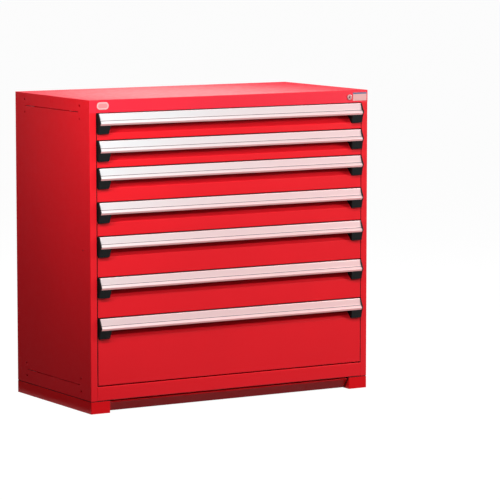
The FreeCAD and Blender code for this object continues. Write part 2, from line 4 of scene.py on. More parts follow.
import bmesh
import bpy
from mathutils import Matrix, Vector


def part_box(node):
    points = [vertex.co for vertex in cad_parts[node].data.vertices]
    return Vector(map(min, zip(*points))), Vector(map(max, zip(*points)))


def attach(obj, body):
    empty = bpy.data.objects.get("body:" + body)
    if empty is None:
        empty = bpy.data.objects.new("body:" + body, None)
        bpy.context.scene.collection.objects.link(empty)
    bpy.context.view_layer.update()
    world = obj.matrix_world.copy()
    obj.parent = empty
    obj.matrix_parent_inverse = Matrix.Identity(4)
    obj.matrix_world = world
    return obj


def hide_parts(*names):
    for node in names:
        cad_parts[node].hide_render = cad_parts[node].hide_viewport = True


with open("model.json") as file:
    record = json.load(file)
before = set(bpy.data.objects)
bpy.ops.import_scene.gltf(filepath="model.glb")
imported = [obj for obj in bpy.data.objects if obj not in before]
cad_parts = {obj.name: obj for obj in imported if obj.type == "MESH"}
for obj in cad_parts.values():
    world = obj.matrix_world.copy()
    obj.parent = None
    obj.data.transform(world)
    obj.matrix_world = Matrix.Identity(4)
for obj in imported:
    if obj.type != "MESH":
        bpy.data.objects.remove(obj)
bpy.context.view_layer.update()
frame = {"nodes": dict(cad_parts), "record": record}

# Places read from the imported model, in metres
drawer_numbers = range(1, 8)
front_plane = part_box("sill_rail")[0].y
back_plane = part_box("back_panel")[1].y
cabinet_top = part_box("top_panel")[1].z
half_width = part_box("base_frame")[1].x
handle_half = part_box("drawer_1_handle")[1].x

# Sizes of the model that its boxes don't give, in metres
upright_width = 0.0276
foot_width = 0.080
front_rail_setback = 0.030

# Columns and rows of compartments in each drawer, from the top one down
compartments = [(8, 5), (8, 5), (8, 5), (8, 5), (5, 3), (5, 3), (4, 2)]

# Camera: the photograph's viewing angle, distance and field of view
camera_azimuth = math.radians(-30.98)
camera_elevation = math.radians(6.68)
camera_distance = 11.2434
camera_aim = Vector((0.07735, front_plane, 0.5745))
focal_length_mm = 212.454
sensor_width_mm = 36.0

# Finishes, as linear colours
paint_red = (0.84, 0.009, 0.018)
# Painted shade: a darker copy of the red for the base
paint_red_shaded = (0.80, 0.007, 0.012)
# Painted reflection: a bluer copy of the red for the top, for its pink sheen
paint_red_top_sheen_tint = (0.84, 0.010, 0.034)
# Handle aluminium: pale, then the warm and rose tints of its painted reflection
aluminium_pale = (0.72, 0.70, 0.705)
aluminium_reflected_warm = (0.77, 0.58, 0.585)
aluminium_reflected_rose = (0.77, 0.52, 0.52)
# Painted reflection of the red fronts on the handles' downward faces
aluminium_red_reflection = (0.88, 0.42, 0.42)
# Painted shade on the handles' upward and backward faces
aluminium_painted_shade = (0.16, 0.13, 0.13)
zinc_grey = (0.60, 0.61, 0.63)
plastic_black = (0.0065, 0.0075, 0.008)
lock_silver = (0.50, 0.27, 0.27)
plate_pale = (0.76, 0.39, 0.375)
badge_pale = (0.84, 0.45, 0.45)
badge_rose = (0.82, 0.26, 0.27)
band_blue = (0.05, 0.12, 0.22)
# Label card: pale, then the warm and rose tints of its painted reflection
label_white = (0.66, 0.655, 0.665)
label_reflected_warm = (0.72, 0.53, 0.535)
label_reflected_rose = (0.75, 0.47, 0.47)
# Painted shade: grey for the strip that darkens the groove under each label
groove_shade_grey = (0.17, 0.155, 0.16)
keyway_black = (0.06, 0.04, 0.045)

# Painted reflection on the handles: how much rosier they get per metre along x, y and z, and how
# rosy they are at the origin
reflection_tint_slope = (0.40, 0.0, -0.50)
reflection_tint_offset = 0.759

# The top's painted highlight: its middle, its reach, and the gloss of the faces that don't lie flat
sheen_middle_x = -0.0975
sheen_setback = 0.12
sheen_reach_x = 0.75
sheen_reach_y = 0.9
standing_gloss = 0.45

# Studio: half the floor's side, what it scatters, its strength where seen, and the light all round
floor_half_side = 60.0
floor_albedo = 0.06
floor_glow = 0.97
ambient_light = 0.03


# Node graphs

def new_shader(name):
    """A material with one Principled shader, and that shader."""
    material = bpy.data.materials.new(name)
    material.use_nodes = True
    material.node_tree.nodes.clear()
    output = material.node_tree.nodes.new("ShaderNodeOutputMaterial")
    shader = material.node_tree.nodes.new("ShaderNodeBsdfPrincipled")
    material.node_tree.links.new(shader.outputs["BSDF"], output.inputs["Surface"])
    return material, shader


def link(material, source, target):
    material.node_tree.links.new(source, target)


def noise(material, scale, detail=2.0, stretch=(1, 1, 1)):
    """Noise over the piece's own coordinates in metres, scale counted per metre."""
    nodes = material.node_tree.nodes
    where = nodes.new("ShaderNodeTexCoord")
    mapping = nodes.new("ShaderNodeMapping")
    mapping.inputs["Scale"].default_value = stretch
    texture = nodes.new("ShaderNodeTexNoise")
    texture.inputs["Scale"].default_value = scale
    texture.inputs["Detail"].default_value = detail
    link(material, where.outputs["Object"], mapping.inputs["Vector"])
    link(material, mapping.outputs["Vector"], texture.inputs["Vector"])
    return texture.outputs["Fac"]


def ramp(material, value, low, high):
    """Colour between low and high as value goes from 0.3 to 0.7."""
    node = material.node_tree.nodes.new("ShaderNodeValToRGB")
    node.color_ramp.elements[0].position = 0.3
    node.color_ramp.elements[0].color = (*low, 1)
    node.color_ramp.elements[1].position = 0.7
    node.color_ramp.elements[1].color = (*high, 1)
    link(material, value, node.inputs["Fac"])
    return node.outputs["Color"]


def spread(material, value, low, high):
    """Number between low and high as value goes from 0.3 to 0.7."""
    node = material.node_tree.nodes.new("ShaderNodeMapRange")
    node.inputs["From Min"].default_value = 0.3
    node.inputs["From Max"].default_value = 0.7
    node.inputs["To Min"].default_value = low
    node.inputs["To Max"].default_value = high
    link(material, value, node.inputs["Value"])
    return node.outputs["Result"]


def bump(material, shader, value, strength, depth):
    """Relief of the given depth in metres, chained after any relief the shader has."""
    node = material.node_tree.nodes.new("ShaderNodeBump")
    node.inputs["Strength"].default_value = strength
    node.inputs["Distance"].default_value = depth
    link(material, value, node.inputs["Height"])
    if shader.inputs["Normal"].is_linked:
        link(material, shader.inputs["Normal"].links[0].from_socket, node.inputs["Normal"])
    link(material, node.outputs["Normal"], shader.inputs["Normal"])


def painted_rose_reflection(material, pale, warm, rose):
    """Painted reflection: pale on the upper left handles, rosier towards the lower right ones, as
    in the photograph.
    """
    nodes = material.node_tree.nodes
    where = nodes.new("ShaderNodeTexCoord")
    along = nodes.new("ShaderNodeVectorMath")
    along.operation = "DOT_PRODUCT"
    along.inputs[1].default_value = reflection_tint_slope
    link(material, where.outputs["Object"], along.inputs[0])
    offset = nodes.new("ShaderNodeMath")
    offset.operation = "ADD"
    offset.inputs[1].default_value = reflection_tint_offset
    link(material, along.outputs["Value"], offset.inputs[0])
    node = nodes.new("ShaderNodeValToRGB")
    node.color_ramp.elements[0].position = 0.10
    node.color_ramp.elements[0].color = (*pale, 1)
    node.color_ramp.elements[1].position = 0.75
    node.color_ramp.elements[1].color = (*rose, 1)
    middle = node.color_ramp.elements.new(0.40)
    middle.color = (*warm, 1)
    link(material, offset.outputs["Value"], node.inputs["Fac"])
    return node.outputs["Color"]


def facing(material, axis, low, high):
    """0 to 1 as that part of the surface's normal goes from low to high."""
    nodes = material.node_tree.nodes
    surface = nodes.new("ShaderNodeNewGeometry")
    parts = nodes.new("ShaderNodeSeparateXYZ")
    link(material, surface.outputs["Normal"], parts.inputs["Vector"])
    node = nodes.new("ShaderNodeMapRange")
    node.inputs["From Min"].default_value = low
    node.inputs["From Max"].default_value = high
    link(material, parts.outputs[axis], node.inputs["Value"])
    return node.outputs["Result"]


def blend(material, factor, colour, other):
    """Colour output that turns into the other colour as factor goes to 1."""
    node = material.node_tree.nodes.new("ShaderNodeMix")
    node.data_type = "RGBA"
    link(material, factor, node.inputs["Factor"])
    link(material, colour, node.inputs["A"])
    node.inputs["B"].default_value = (*other, 1)
    return node.outputs["Result"]


def mottled(material, colour, value, low):
    """Colour darkened to low where value is small."""
    node = material.node_tree.nodes.new("ShaderNodeMix")
    node.data_type = "RGBA"
    node.blend_type = "MULTIPLY"
    node.inputs["Factor"].default_value = 1.0
    link(material, colour, node.inputs["A"])
    link(material, ramp(material, value, (low, low, low), (1, 1, 1)), node.inputs["B"])
    return node.outputs["Result"]


def shade(colour, factor):
    return tuple(channel * factor for channel in colour)


def powder_coat(name, colour, gloss):
    """Satin powder coat: slight colour drift, fine orange peel."""
    material, shader = new_shader(name)
    drift = noise(material, 2.2, 3.0)
    tint = ramp(material, drift, shade(colour, 0.965), shade(colour, 1.035))
    link(material, tint, shader.inputs["Base Color"])
    roughness = spread(material, noise(material, 40.0, 2.0), 0.34, 0.42)
    link(material, roughness, shader.inputs["Roughness"])
    shader.inputs["Specular IOR Level"].default_value = gloss
    bump(material, shader, noise(material, 420.0, 1.0), 0.16, 0.00012)
    bump(material, shader, noise(material, 1500.0, 1.0), 0.10, 0.00004)
    return material


def sheen_coat(name, colour):
    """Powder coat of the top with a painted highlight: glossiest near the front left of its middle,
    dull at its corners.
    """
    material = powder_coat(name, colour, standing_gloss)
    nodes = material.node_tree.nodes
    shader = next(node for node in nodes if node.type == "BSDF_PRINCIPLED")
    where = nodes.new("ShaderNodeTexCoord")
    mapping = nodes.new("ShaderNodeMapping")
    mapping.inputs["Location"].default_value = (
        -sheen_middle_x / sheen_reach_x, -(front_plane + sheen_setback) / sheen_reach_y, 0,
    )
    mapping.inputs["Scale"].default_value = (1 / sheen_reach_x, 1 / sheen_reach_y, 0)
    link(material, where.outputs["Object"], mapping.inputs["Vector"])
    distance = nodes.new("ShaderNodeVectorMath")
    distance.operation = "LENGTH"
    link(material, mapping.outputs["Vector"], distance.inputs[0])
    fall = nodes.new("ShaderNodeMapRange")
    fall.interpolation_type = "SMOOTHSTEP"
    fall.inputs["From Min"].default_value = 0.1
    fall.inputs["From Max"].default_value = 1.0
    fall.inputs["To Min"].default_value = 1.0
    fall.inputs["To Max"].default_value = 0.25
    link(material, distance.outputs["Value"], fall.inputs["Value"])
    steep = nodes.new("ShaderNodeMath")
    steep.operation = "POWER"
    steep.inputs[1].default_value = 4.0
    link(material, fall.outputs["Result"], steep.inputs[0])
    lying = nodes.new("ShaderNodeMix")
    lying.data_type = "FLOAT"
    link(material, facing(material, "Z", 0.4, 0.9), lying.inputs["Factor"])
    lying.inputs["A"].default_value = standing_gloss
    link(material, steep.outputs["Value"], lying.inputs["B"])
    link(material, lying.outputs["Result"], shader.inputs["Specular IOR Level"])
    return material


def anodised(name, pale, warm, rose):
    """Anodised aluminium with fine lines along x, the way it was drawn through its die, coloured
    with painted reflection and painted shade.
    """
    material, shader = new_shader(name)
    shader.inputs["Metallic"].default_value = 0.6
    lines = noise(material, 900.0, 2.0, (0.006, 1, 1))
    colour = painted_rose_reflection(material, pale, warm, rose)
    # Painted reflection: faces that look down turn pink-red
    colour = blend(material, facing(material, "Z", -0.05, -0.65), colour, aluminium_red_reflection)
    # Painted shade: faces that look up or back turn dark
    colour = blend(material, facing(material, "Z", 0.85, 0.98), colour, aluminium_painted_shade)
    colour = blend(material, facing(material, "Y", 0.0, 0.2), colour, aluminium_painted_shade)
    link(material, mottled(material, colour, lines, 0.96), shader.inputs["Base Color"])
    link(material, spread(material, lines, 0.40, 0.50), shader.inputs["Roughness"])
    bump(material, shader, lines, 0.10, 0.00003)
    return material


def zinc_plate(name, colour):
    """Zinc-plated sheet: cloudy crystals and small scratches."""
    material, shader = new_shader(name)
    shader.inputs["Metallic"].default_value = 1.0
    clouds = noise(material, 60.0, 4.0)
    tint = ramp(material, clouds, shade(colour, 0.86), shade(colour, 1.08))
    link(material, tint, shader.inputs["Base Color"])
    roughness = spread(material, noise(material, 220.0, 3.0), 0.30, 0.48)
    link(material, roughness, shader.inputs["Roughness"])
    bump(material, shader, noise(material, 700.0, 2.0, (0.05, 1, 1)), 0.06, 0.00003)
    return material


def moulded_plastic(name, colour):
    """Black moulded plastic with a fine spark-eroded texture."""
    material, shader = new_shader(name)
    tint = ramp(material, noise(material, 300.0, 2.0), shade(colour, 0.8), shade(colour, 1.3))
    link(material, tint, shader.inputs["Base Color"])
    roughness = spread(material, noise(material, 90.0, 2.0), 0.50, 0.62)
    link(material, roughness, shader.inputs["Roughness"])
    shader.inputs["Specular IOR Level"].default_value = 0.12
    bump(material, shader, noise(material, 1300.0, 3.0), 0.25, 0.00008)
    return material


def polished_metal(name, colour, roughness):
    """Plated or lacquered metal with slight wear."""
    material, shader = new_shader(name)
    shader.inputs["Metallic"].default_value = 1.0
    wear = noise(material, 500.0, 3.0)
    link(material, ramp(material, wear, shade(colour, 0.92), colour), shader.inputs["Base Color"])
    dullness = spread(material, wear, roughness * 0.8, roughness * 1.3)
    link(material, dullness, shader.inputs["Roughness"])
    bump(material, shader, noise(material, 1200.0, 2.0), 0.05, 0.00002)
    return material


def printed(name, colour, roughness):
    """Printed film or card: a little mottled, hardly raised."""
    material, shader = new_shader(name)
    mottle = noise(material, 800.0, 3.0)
    link(material, ramp(material, mottle, shade(colour, 0.95), colour), shader.inputs["Base Color"])
    dullness = spread(material, mottle, roughness * 0.9, roughness * 1.1)
    link(material, dullness, shader.inputs["Roughness"])
    bump(material, shader, mottle, 0.08, 0.00003)
    return material


def covered_card(name, pale, warm, rose):
    """Blank card under a clear film, coloured with the handles' painted reflection."""
    material, shader = new_shader(name)
    fibres = noise(material, 800.0, 3.0)
    colour = painted_rose_reflection(material, pale, warm, rose)
    link(material, mottled(material, colour, fibres, 0.95), shader.inputs["Base Color"])
    link(material, spread(material, fibres, 0.45, 0.55), shader.inputs["Roughness"])
    shader.inputs["Coat Weight"].default_value = 0.35
    shader.inputs["Coat Roughness"].default_value = 0.25
    bump(material, shader, fibres, 0.08, 0.00003)
    return material


slot_materials = {
    "housing_paint": powder_coat("housing_powder_coat", paint_red, 0.25),
    "drawer_paint": powder_coat("drawer_powder_coat", paint_red, 0.25),
    "base_paint": powder_coat("base_powder_coat", paint_red_shaded, 0.10),
    "handle_aluminium": anodised("handle_anodised", aluminium_pale, aluminium_reflected_warm, aluminium_reflected_rose),
    "cap_plastic": moulded_plastic("cap_moulded_plastic", plastic_black),
    "zinc_steel": zinc_plate("zinc_plated_steel", zinc_grey),
    "lock_metal": polished_metal("lock_plated", lock_silver, 0.36),
    "blank_plate": polished_metal("blank_plate_metal", plate_pale, 0.35),
}
node_slots = {part["node"]: part["material_slot"] for part in frame["record"]["subparts"]}
for node_name, node in frame["nodes"].items():
    node.data.materials.clear()
    node.data.materials.append(slot_materials[node_slots[node_name]])
top_paint = sheen_coat("top_powder_coat", paint_red_top_sheen_tint)
frame["nodes"]["top_panel"].data.materials[0] = top_paint


# Shapes for the extra pieces: each is a list of points and a list of faces

def loft(loops, ring=False):
    """Skin over loops with the same number of points, closed by end faces or into a ring."""
    count = len(loops[0])
    points = [point for loop in loops for point in loop]
    faces = []
    pairs = len(loops) if ring else len(loops) - 1
    for i in range(pairs):
        here = i * count
        there = (i + 1) % len(loops) * count
        for j in range(count):
            k = (j + 1) % count
            faces.append((here + j, here + k, there + k, there + j))
    if not ring:
        faces.append(tuple(range(count))[::-1])
        faces.append(tuple(range(len(points) - count, len(points))))
    return points, faces


def rounded_loop(x, z, width, height, radius, y, steps=6):
    """Rounded rectangle standing in the plane y, seen from the front."""
    points = []
    corners = [(1, 1, 0), (-1, 1, 90), (-1, -1, 180), (1, -1, 270)]
    for side, up, start in corners:
        for i in range(steps + 1):
            angle = math.radians(start + 90 * i / steps)
            points.append((
                x + side * (width / 2 - radius) + radius * math.cos(angle),
                y,
                z + up * (height / 2 - radius) + radius * math.sin(angle),
            ))
    return points


def circle_loop(centre, radius, axis, offset, segments=16):
    """Circle round the x or y axis, moved along it."""
    points = []
    for i in range(segments):
        angle = 2 * math.pi * i / segments
        a = radius * math.cos(angle)
        b = radius * math.sin(angle)
        if axis == "x":
            points.append((centre[0] + offset, centre[1] + a, centre[2] + b))
        else:
            points.append((centre[0] + a, centre[1] + offset, centre[2] + b))
    return points


def rivet(centre, radius, height, axis, side):
    """Domed head standing on its base in the direction side along the axis."""
    profile = [(1.0, 0.0), (1.0, 0.25), (0.88, 0.6), (0.6, 0.9), (0.25, 1.0)]
    loops = [circle_loop(centre, radius * r, axis, side * height * h) for r, h in profile]
    return loft(loops)


def drawn_x(outline, x0, x1):
    """Outline of y and z drawn out along x."""
    return loft([[(x, y, z) for y, z in outline] for x in (x0, x1)])


def drawn_y(outline, y0, y1):
    """Outline of x and z drawn out along y."""
    return loft([[(x, y, z) for x, z in outline] for y in (y0, y1)])


def drawn_z(outline, z0, z1):
    """Outline of x and y drawn out along z."""
    return loft([[(x, y, z) for x, y in outline] for z in (z0, z1)])


def add_piece(name, shapes, material, body, smooth=False):
    """One object from shapes, riding on a body and filed under a material slot."""
    mesh = bpy.data.meshes.new(name)
    bm = bmesh.new()
    for points, faces in shapes:
        corners = [bm.verts.new(point) for point in points]
        for face in faces:
            bm.faces.new([corners[i] for i in face])
    bmesh.ops.recalc_face_normals(bm, faces=bm.faces)
    bm.to_mesh(mesh)
    bm.free()
    piece = bpy.data.objects.new(name, mesh)
    bpy.context.scene.collection.objects.link(piece)
    mesh.materials.append(material)
    if smooth:
        mesh.shade_smooth()
        mesh.set_sharp_from_angle(angle=math.radians(32))
    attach(piece, body)
    return piece


def add_label_strips():
    """A blank covered card in each handle's label channel, and a grey strip of painted shade in the
    groove below.
    """
    card = covered_card("label_card", label_white, label_reflected_warm, label_reflected_rose)
    groove_shade_paint = printed("groove_shade_material", groove_shade_grey, 0.6)
    face_run = 0.0085
    face_drop = 0.0252
    face_length = math.hypot(face_run, face_drop)
    along = (-face_run / face_length, -face_drop / face_length)
    face_top_reach = 0.006
    end_gap = 0.0015
    high_end = 0.0036
    low_end = face_length - 0.0028
    section = [
        (high_end, 0.00098), (high_end, 0.00045), (0.0040, 0.00028),
        (0.5 * (high_end + low_end), 0.00016),
        (low_end - 0.0004, 0.00028), (low_end, 0.00045), (low_end, 0.00098),
    ]
    # Painted shade strip in the groove
    groove_shade_section = [
        (-0.01435, -0.02532), (-0.01305, -0.02600), (-0.01590, -0.02745), (-0.01525, -0.02645),
    ]
    for number in drawer_numbers:
        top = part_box("drawer_%d_handle" % number)[1].z
        outline = []
        for distance, inset in section:
            outline.append((
                front_plane - face_top_reach + along[0] * distance - along[1] * inset,
                top + along[1] * distance + along[0] * inset,
            ))
        half = handle_half - end_gap
        add_piece("drawer_%d_label_strip" % number, [drawn_x(outline, -half, half)], card,
                  "drawer_%d" % number)
        outline = [(front_plane + y, top + z) for y, z in groove_shade_section]
        add_piece("drawer_%d_groove_bead" % number, [drawn_x(outline, -half, half)], groove_shade_paint,
                  "drawer_%d" % number)


def add_badge():
    """Plain oval badge: raised pale rim round a rose enamel field."""
    badge_inset = 0.0546
    badge_drop = 0.0224
    badge_thickness = 0.0012
    x = badge_inset - half_width
    z = cabinet_top - badge_drop
    face = front_plane - badge_thickness
    rim = [
        rounded_loop(x, z, 0.0492, 0.0272, 0.0132, face + 0.0004),
        rounded_loop(x, z, 0.0492, 0.0272, 0.0132, face - 0.0004),
        rounded_loop(x, z, 0.0478, 0.0258, 0.0125, face - 0.0009),
        rounded_loop(x, z, 0.0400, 0.0180, 0.0086, face - 0.0009),
        rounded_loop(x, z, 0.0386, 0.0166, 0.0079, face - 0.0004),
        rounded_loop(x, z, 0.0386, 0.0166, 0.0079, face + 0.0004),
    ]
    add_piece("badge_rim", [loft(rim, ring=True)], printed("badge_rim_lacquer", badge_pale, 0.35),
              "cabinet", smooth=True)
    field = [
        rounded_loop(x, z, 0.0380, 0.0160, 0.0076, face + 0.0003),
        rounded_loop(x, z, 0.0380, 0.0160, 0.0076, face - 0.0001),
        rounded_loop(x, z, 0.0320, 0.0100, 0.0046, face - 0.0003),
        rounded_loop(x, z, 0.0200, 0.0040, 0.0018, face - 0.0004),
    ]
    add_piece("badge_field", [loft(field)], printed("badge_enamel", badge_rose, 0.3),
              "cabinet", smooth=True)


def add_label_plate():
    """Blank label plate: printed face, fine raised border and a plain band along its top."""
    plate_inset = 0.0366
    plate_drop = 0.0247
    plate_thickness = 0.0006
    x = half_width - plate_inset
    z = cabinet_top - plate_drop
    face = front_plane - plate_thickness
    width = 0.063
    height = 0.032
    sheet = [
        rounded_loop(x, z, width - 0.001, height - 0.001, 0.0017, face + 0.0002),
        rounded_loop(x, z, width - 0.001, height - 0.001, 0.0017, face - 0.0001),
        rounded_loop(x, z, width - 0.0014, height - 0.0014, 0.0015, face - 0.00016),
    ]
    add_piece("label_plate_face", [loft(sheet)], printed("label_plate_print", plate_pale, 0.42),
              "cabinet")
    border = [
        rounded_loop(x, z, width - 0.0016, height - 0.0016, 0.0014, face),
        rounded_loop(x, z, width - 0.0016, height - 0.0016, 0.0014, face - 0.0003),
        rounded_loop(x, z, width - 0.0036, height - 0.0036, 0.0006, face - 0.0003),
        rounded_loop(x, z, width - 0.0036, height - 0.0036, 0.0006, face),
    ]
    add_piece("label_plate_border", [loft(border, ring=True)],
              printed("label_plate_edge", shade(plate_pale, 0.9), 0.4), "cabinet")
    band_height = 0.0056
    band_z = z + height / 2 - 0.0002 - band_height / 2
    band = [
        rounded_loop(x, band_z, width - 0.0012, band_height, 0.0008, face),
        rounded_loop(x, band_z, width - 0.0012, band_height, 0.0008, face - 0.00034),
    ]
    add_piece("label_plate_band", [loft(band)], printed("label_plate_band_ink", band_blue, 0.4),
              "cabinet")


def add_lock_details():
    """Collar round the plug, and the dark guard with its slot over the keyhole."""
    bezel_low, bezel_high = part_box("lock_housing")
    x = (bezel_low.x + bezel_high.x) / 2
    z = (bezel_low.z + bezel_high.z) / 2
    bezel_height = 0.003
    plug_recess = 0.0006
    bezel_face = front_plane - bezel_height
    centre = (x, bezel_face, z)
    collar = []
    profile = [
        (0.0089, -0.0004), (0.0089, 0.0003), (0.0084, 0.0006),
        (0.0077, 0.0006), (0.0073, 0.0002), (0.0073, -0.0004),
    ]
    for radius, out in profile:
        collar.append(circle_loop(centre, radius, "y", -out, 40))
    add_piece("lock_collar", [loft(collar, ring=True)], slot_materials["lock_metal"],
              "cabinet", smooth=True)
    plug_face = bezel_face + plug_recess
    guard = [
        rounded_loop(x, z, 0.0056, 0.0092, 0.0026, plug_face + 0.0003),
        rounded_loop(x, z, 0.0056, 0.0092, 0.0026, plug_face - 0.0002),
        rounded_loop(x, z, 0.0050, 0.0086, 0.0023, plug_face - 0.0004),
        rounded_loop(x, z, 0.0018, 0.0072, 0.0006, plug_face - 0.0004),
        rounded_loop(x, z, 0.0018, 0.0072, 0.0006, plug_face + 0.0003),
    ]
    plastic = moulded_plastic("key_guard_plastic", keyway_black)
    add_piece("lock_key_guard", [loft(guard, ring=True)], plastic, "lock",
              smooth=True)


def add_back_details():
    """Pressed ribs and rows of rivets on the back panel, none standing past the side returns."""
    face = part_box("back_panel")[1].y
    rib_x = 0.29
    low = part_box("back_panel")[0].z + 0.075
    high = cabinet_top - 0.095
    middle = (low + high) / 2
    rib_profile = [
        (0.046, 0.0, -0.0004), (0.046, 0.0, 0.0001), (0.038, 0.004, 0.0009), (0.030, 0.008, 0.0012),
    ]
    ribs = []
    for x in (-rib_x, rib_x):
        loops = []
        for width, trim, out in rib_profile:
            length = high - low - 2 * trim
            loops.append(rounded_loop(x, middle, width, length, width / 2 - 0.001, face + out, 8))
        ribs.append(loft(loops))
    add_piece("back_panel_ribs", ribs, slot_materials["housing_paint"], "cabinet",
              smooth=True)
    rivets_per_row = 9
    row_half = 0.56
    rivet_radius = 0.0042
    rivet_height = 0.0012
    rivets = []
    for z in (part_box("back_panel")[0].z + 0.014, cabinet_top - 0.016):
        for i in range(rivets_per_row):
            x = -row_half + 2 * row_half * i / (rivets_per_row - 1)
            rivets.append(rivet((x, face, z), rivet_radius, rivet_height, "y", 1))
    add_piece("back_panel_rivets", rivets, slot_materials["housing_paint"], "cabinet",
              smooth=True)


def add_carriage_axles():
    """Riveted axle heads on the carriage webs, each on the face away from its roller."""
    roller_end_margin = 0.018
    roller_spacing = 0.198
    web_outer = 0.564
    web_inner = 0.562
    head_radius = 0.0052
    head_height = 0.0013
    for number in drawer_numbers:
        low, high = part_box("carriage_%d" % number)
        z = (low.z + high.z) / 2
        heads = []
        front = low.y + roller_end_margin
        rear = high.y - roller_end_margin
        for side in (-1, 1):
            for y in (front, front + roller_spacing):
                centre = (side * web_outer, y, z)
                heads.append(rivet(centre, head_radius, head_height, "x", side))
            for y in (rear, rear - roller_spacing):
                centre = (side * web_inner, y, z)
                heads.append(rivet(centre, head_radius, head_height, "x", -side))
        add_piece("carriage_%d_axle_heads" % number, heads, slot_materials["lock_metal"],
                  "carriage_%d" % number, smooth=True)


def add_gap_shade_strips():
    """Thin black strips on the inner edges of the uprights, clear of the drawers: painted shade for
    the dark gaps beside the drawers.
    """
    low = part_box("sill_rail")[1].z + 0.001
    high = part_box("drawer_1_handle")[1].z
    edge = half_width - upright_width
    strip_thickness = 0.0012
    front_setback = 0.0006
    back_setback = 0.0106
    strips = []
    for side in (-1, 1):
        outline = [
            (side * edge, front_plane + front_setback),
            (side * (edge - strip_thickness), front_plane + front_setback),
            (side * (edge - strip_thickness), front_plane + back_setback),
            (side * edge, front_plane + back_setback),
        ]
        strips.append(drawn_z(outline, low, high))
    add_piece("upright_gap_shade_strips", strips, slot_materials["cap_plastic"], "cabinet")


def add_seam_shade_strip():
    """Black strip in the seam between the base and the housing, set back from the faces: painted
    shade for the dark seam.
    """
    low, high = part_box("base_frame")
    seam_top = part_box("sill_rail")[0].z
    seam_height = 0.003
    setback = 0.002
    inside = 0.005

    def half_outline(side):
        """Outer and inner points of the seam's shade strip on one side, from the foot to the back.
        """
        foot = high.x - foot_width
        outer = [
            (side * (foot + inside), low.y + front_rail_setback),
            (side * (foot + setback), low.y + front_rail_setback),
            (side * (foot + setback), low.y + setback),
            (side * (high.x - setback), low.y + setback),
            (side * (high.x - setback), high.y - setback),
        ]
        inner = [
            (side * (high.x - inside), high.y - inside),
            (side * (high.x - inside), low.y + inside),
            (side * (foot + inside), low.y + inside),
        ]
        return outer, inner

    right_outer, right_inner = half_outline(1)
    left_outer, left_inner = half_outline(-1)
    outline = right_outer + left_outer[::-1] + left_inner[::-1] + right_inner
    seam_shade = drawn_z(outline, seam_top - seam_height, seam_top)
    add_piece("base_seam_shade_strip", [seam_shade], slot_materials["cap_plastic"], "cabinet")


def add_toe_end_shade_strips():
    """Black strips that close the gaps between the toe panel's ends and the feet: painted shade for
    these dark gaps.
    """
    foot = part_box("base_frame")[1].x - foot_width
    toe_low, toe_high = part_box("toe_panel")
    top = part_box("sill_rail")[0].z
    bend_drop = 0.0035
    bend = toe_high.z - bend_drop
    top_front = front_plane + 0.0074
    top_back = front_plane + 0.014
    bottom_front = front_plane + 0.0386
    bottom_back = front_plane + 0.046
    outline = [
        (top_front, top), (top_front, bend), (bottom_front, toe_low.z),
        (bottom_back, toe_low.z), (top_back, bend), (top_back, top),
    ]
    toe_shades = []
    for side in (-1, 1):
        ends = sorted((side * toe_high.x, side * foot))
        toe_shades.append(drawn_x(outline, *ends))
    add_piece("toe_end_shade_strips", toe_shades, slot_materials["cap_plastic"], "cabinet")


def slotted_sheet(bm, x, y0, y1, z0, z1):
    """Upright sheet from front to back with rows of slots, one face thick."""
    slot_width = 0.0026
    spacing = 0.0254
    end_room = 0.02
    tallest_with_one_row = 0.09
    slot_foot = 0.2
    slot_head = 0.78
    count = int((y1 - y0 - end_room) / spacing)
    start = (y0 + y1) / 2 - (count - 1) * spacing / 2
    y_lines = [y0]
    for i in range(count):
        middle = start + i * spacing
        y_lines += [middle - slot_width / 2, middle + slot_width / 2]
    y_lines.append(y1)
    height = z1 - z0
    rows = 1 if height < tallest_with_one_row else 2
    z_lines = [z0]
    for i in range(rows):
        base = z0 + height * i / rows
        z_lines += [base + slot_foot * height / rows, base + slot_head * height / rows]
    z_lines.append(z1)
    corners = [[bm.verts.new((x, y, z)) for z in z_lines] for y in y_lines]
    for i in range(len(y_lines) - 1):
        for j in range(len(z_lines) - 1):
            if i % 2 == 1 and j % 2 == 1:
                continue
            near, far = corners[i], corners[i + 1]
            bm.faces.new((near[j], far[j], far[j + 1], near[j + 1]))


def hem_outline(middle, top):
    """Rolled top edge of a partition, seen from its end."""
    half = 0.0013
    return [
        (middle - half, top - 0.0050), (middle + half, top - 0.0050),
        (middle + half, top - 0.0010), (middle + 0.0008, top - 0.0002),
        (middle - 0.0008, top - 0.0002), (middle - half, top - 0.0010),
    ]


